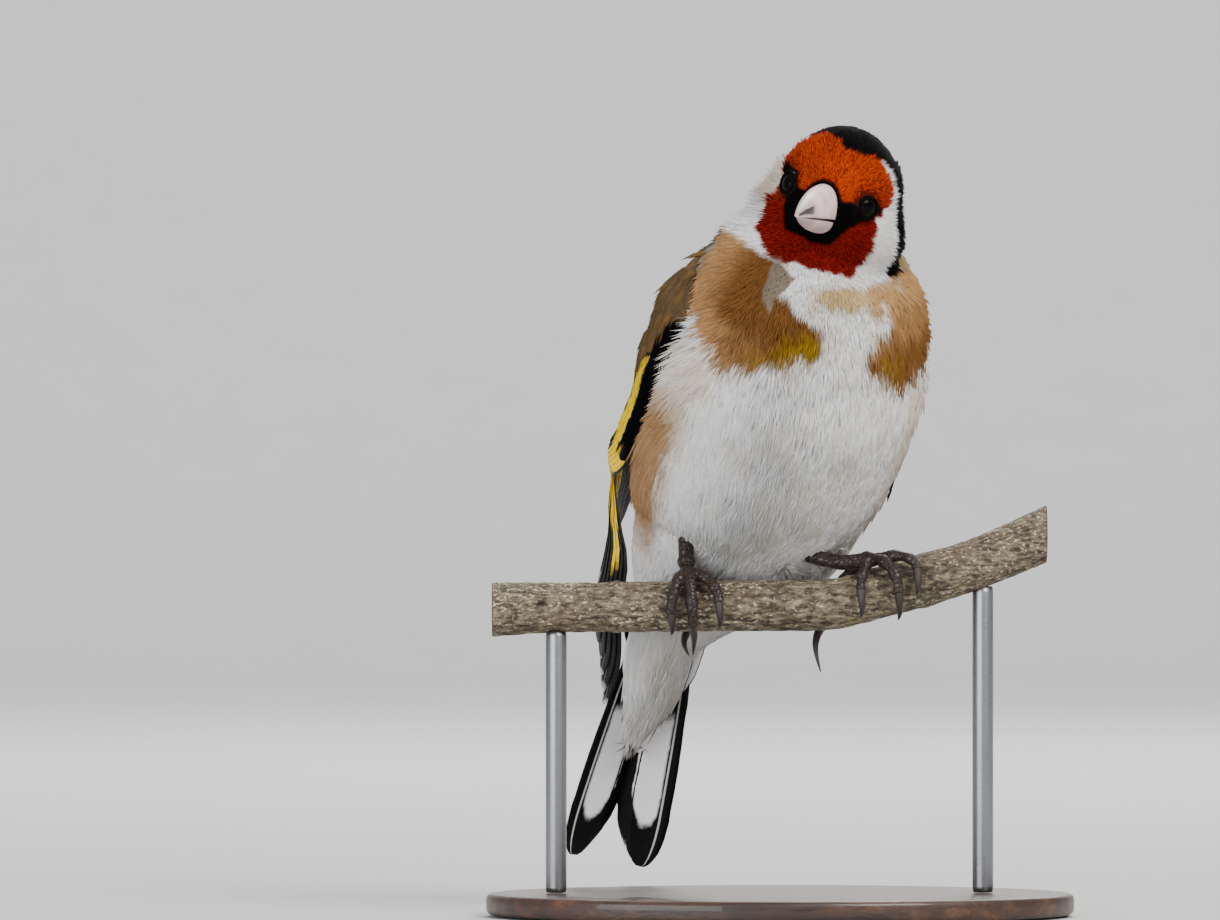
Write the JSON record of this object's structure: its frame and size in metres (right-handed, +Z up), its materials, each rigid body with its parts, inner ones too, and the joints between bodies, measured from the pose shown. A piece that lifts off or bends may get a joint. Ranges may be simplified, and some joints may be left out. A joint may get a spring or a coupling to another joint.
{
  "type": "european_goldfinch",
  "caption": "Still, life-size model of a goldfinch perched on a cut length of branch, its red face turned aside and its forked tail hanging behind.",
  "frame": {"origin": "middle of the flat underside of the stand's base", "axes": "+Z up from the floor, -Y the way the bird's breast faces, +X the bird's own left side"},
  "size_m": [0.084, 0.0681, 0.1127],
  "materials": {
    "breast_feather": "soft white and tawny body feathers",
    "neck_feather": "soft tawny and buff feathers",
    "face_feather": "fine bristly red, black and white feathers",
    "flight_feather": "sleek black vanes with yellow and white parts",
    "bill": "smooth pale pink horn, dark towards the tip",
    "eye": "wet dark brown",
    "leg_skin": "scaly dark brown skin",
    "claw": "polished dark horn",
    "bark": "rough grey-brown bark with pale flecks",
    "stand_wood": "satin dark stained wood",
    "stand_steel": "plain brushed steel rod"
  },
  "bodies": {
    "root": {"bill_lower": "bill", "bill_upper": "bill", "branch": "bark", "claw_left_hind": "claw", "claw_left_inner": "claw", "claw_left_middle": "claw", "claw_left_outer": "claw", "claw_right_hind": "claw", "claw_right_inner": "claw", "claw_right_middle": "claw", "claw_right_outer": "claw", "eye_left": "eye", "eye_right": "eye", "head": "face_feather", "neck": "neck_feather", "shank_left": "leg_skin", "shank_right": "leg_skin", "stand_base": "stand_wood", "stand_rod_1": "stand_steel", "stand_rod_2": "stand_steel", "tail": "flight_feather", "thigh_left": "breast_feather", "thigh_right": "breast_feather", "toes_left": "leg_skin", "toes_right": "leg_skin", "torso": "breast_feather", "wing_left": "flight_feather", "wing_right": "flight_feather"}
  },
  "joints": []
}
